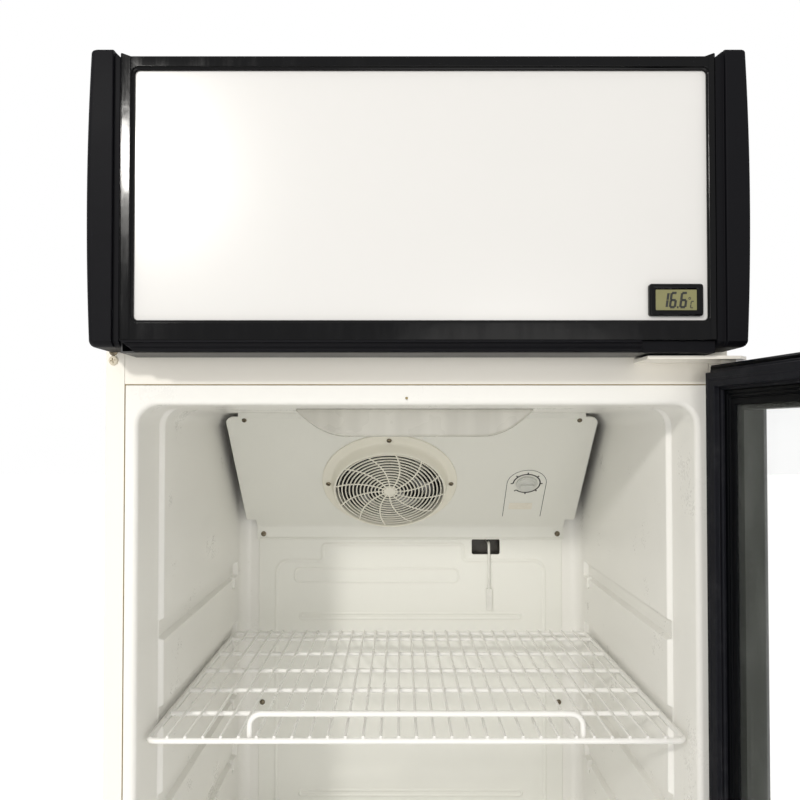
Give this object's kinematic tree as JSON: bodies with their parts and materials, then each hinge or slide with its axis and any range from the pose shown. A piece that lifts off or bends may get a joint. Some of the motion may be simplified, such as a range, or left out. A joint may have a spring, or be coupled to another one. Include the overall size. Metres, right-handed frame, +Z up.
{
  "type": "glass door merchandiser",
  "caption": "Upright refrigerated display cabinet with one hinged glass door, wire shelves, a sloped evaporator cover with a fan, and a lit sign header.",
  "frame": {"origin": "on the floor under the middle of the cabinet's footprint, feet on Z = 0", "axes": "+X to the right as seen from the front, +Y into the cabinet, +Z up"},
  "size_m": [0.7916, 1.1732, 1.994],
  "materials": {
    "cream_paint": "gloss",
    "dark_steel": "satin",
    "white_liner": "satin",
    "cover_white": "satin",
    "warm_plastic": "satin",
    "lens_plastic": "gloss",
    "sign_white": "gloss",
    "cap_black": "satin",
    "gloss_black": "gloss",
    "frame_black": "satin",
    "gasket_black": "matte",
    "pane_glass": "polished",
    "spacer_metal": "satin",
    "shelf_white": "gloss",
    "bare_metal": "satin",
    "fan_black": "matte",
    "foam": "matte",
    "knob_grey": "satin",
    "display_olive": "satin",
    "board_white": "matte",
    "compressor_black": "satin",
    "screw_steel": "satin"
  },
  "bodies": {
    "cabinet": {"side_panel_left": "cream_paint", "side_panel_right": "cream_paint", "top_panel": "cream_paint", "back_panel": "cream_paint", "base_pan": "dark_steel", "bay_roof": "cream_paint", "kick_grille": "cap_black", "levelling_feet": "dark_steel", "foam_insulation": "foam", "liner_left": "white_liner", "liner_right": "white_liner", "liner_back": "white_liner", "liner_ceiling": "white_liner", "liner_floor": "white_liner", "liner_flange": "white_liner", "rear_panel": "white_liner", "lamp_lens": "lens_plastic", "lamp_board": "board_white", "sensor_lead": "warm_plastic", "evaporator_cover": "cover_white", "evaporator_coil": "bare_metal", "evaporator_fan_motor": "fan_black", "fan_guard": "warm_plastic", "thermostat_body": "fan_black", "header_tray": "cap_black", "header_cap_left": "cap_black", "header_cap_right": "cap_black", "header_frame": "gloss_black", "header_panel": "sign_white", "header_lip": "gloss_black", "header_lamp": "sign_white", "thermometer_bezel": "gloss_black", "thermometer_display": "display_olive", "hinge_plate_top": "cream_paint", "hinge_plate_bottom": "cream_paint", "compressor": "compressor_black", "condenser": "bare_metal", "condenser_fan_motor": "dark_steel", "electrical_box": "fan_black", "cabinet_screws": "screw_steel"},
    "door": {"door_stile_hinge": "frame_black", "door_stile_handle": "frame_black", "door_rail_top": "frame_black", "door_rail_bottom": "frame_black", "door_gasket": "gasket_black", "glass_outer": "pane_glass", "glass_inner": "pane_glass", "glass_spacer": "spacer_metal", "door_handle": "frame_black"},
    "evaporator_rotor": {"evaporator_fan": "fan_black"},
    "condenser_rotor": {"condenser_fan": "fan_black"},
    "thermostat_dial": {"thermostat_knob": "knob_grey"},
    "shelf_1": {"shelf_deck_1": "shelf_white", "shelf_loop_1": "shelf_white"},
    "shelf_2": {"shelf_deck_2": "shelf_white", "shelf_loop_2": "shelf_white"},
    "shelf_3": {"shelf_deck_3": "shelf_white", "shelf_loop_3": "shelf_white"},
    "shelf_4": {"shelf_deck_4": "shelf_white", "shelf_loop_4": "shelf_white"}
  },
  "joints": [
    {"name": "door_hinge", "type": "hinge", "parent": "cabinet", "child": "door", "pos_m": [0.3, -0.29, 0.98], "axis": [0, 0, 1], "range_deg": [-100, 15]},
    {"name": "shelf_1_slide", "type": "slide", "parent": "cabinet", "child": "shelf_1", "axis": [0, -1, 0], "range_m": [0, 0.2]},
    {"name": "shelf_2_slide", "type": "slide", "parent": "cabinet", "child": "shelf_2", "axis": [0, -1, 0], "range_m": [0, 0.2]},
    {"name": "shelf_3_slide", "type": "slide", "parent": "cabinet", "child": "shelf_3", "axis": [0, -1, 0], "range_m": [0, 0.2]},
    {"name": "shelf_4_slide", "type": "slide", "parent": "cabinet", "child": "shelf_4", "axis": [0, -1, 0], "range_m": [0, 0.2]},
    {"name": "evaporator_fan_spin", "type": "hinge", "parent": "cabinet", "child": "evaporator_rotor", "pos_m": [-0.032, 0.146, 1.57634], "axis": [0, -0.7113, -0.7029], "continuous": true},
    {"name": "condenser_fan_spin", "type": "hinge", "parent": "cabinet", "child": "condenser_rotor", "pos_m": [-0.17, -0.176, 0.1295], "axis": [0, 1, 0], "continuous": true},
    {"name": "thermostat_turn", "type": "hinge", "parent": "cabinet", "child": "thermostat_dial", "pos_m": [0.174, 0.13175, 1.55804], "axis": [0, -0.7113, -0.7029], "range_deg": [0, 270]}
  ]
}
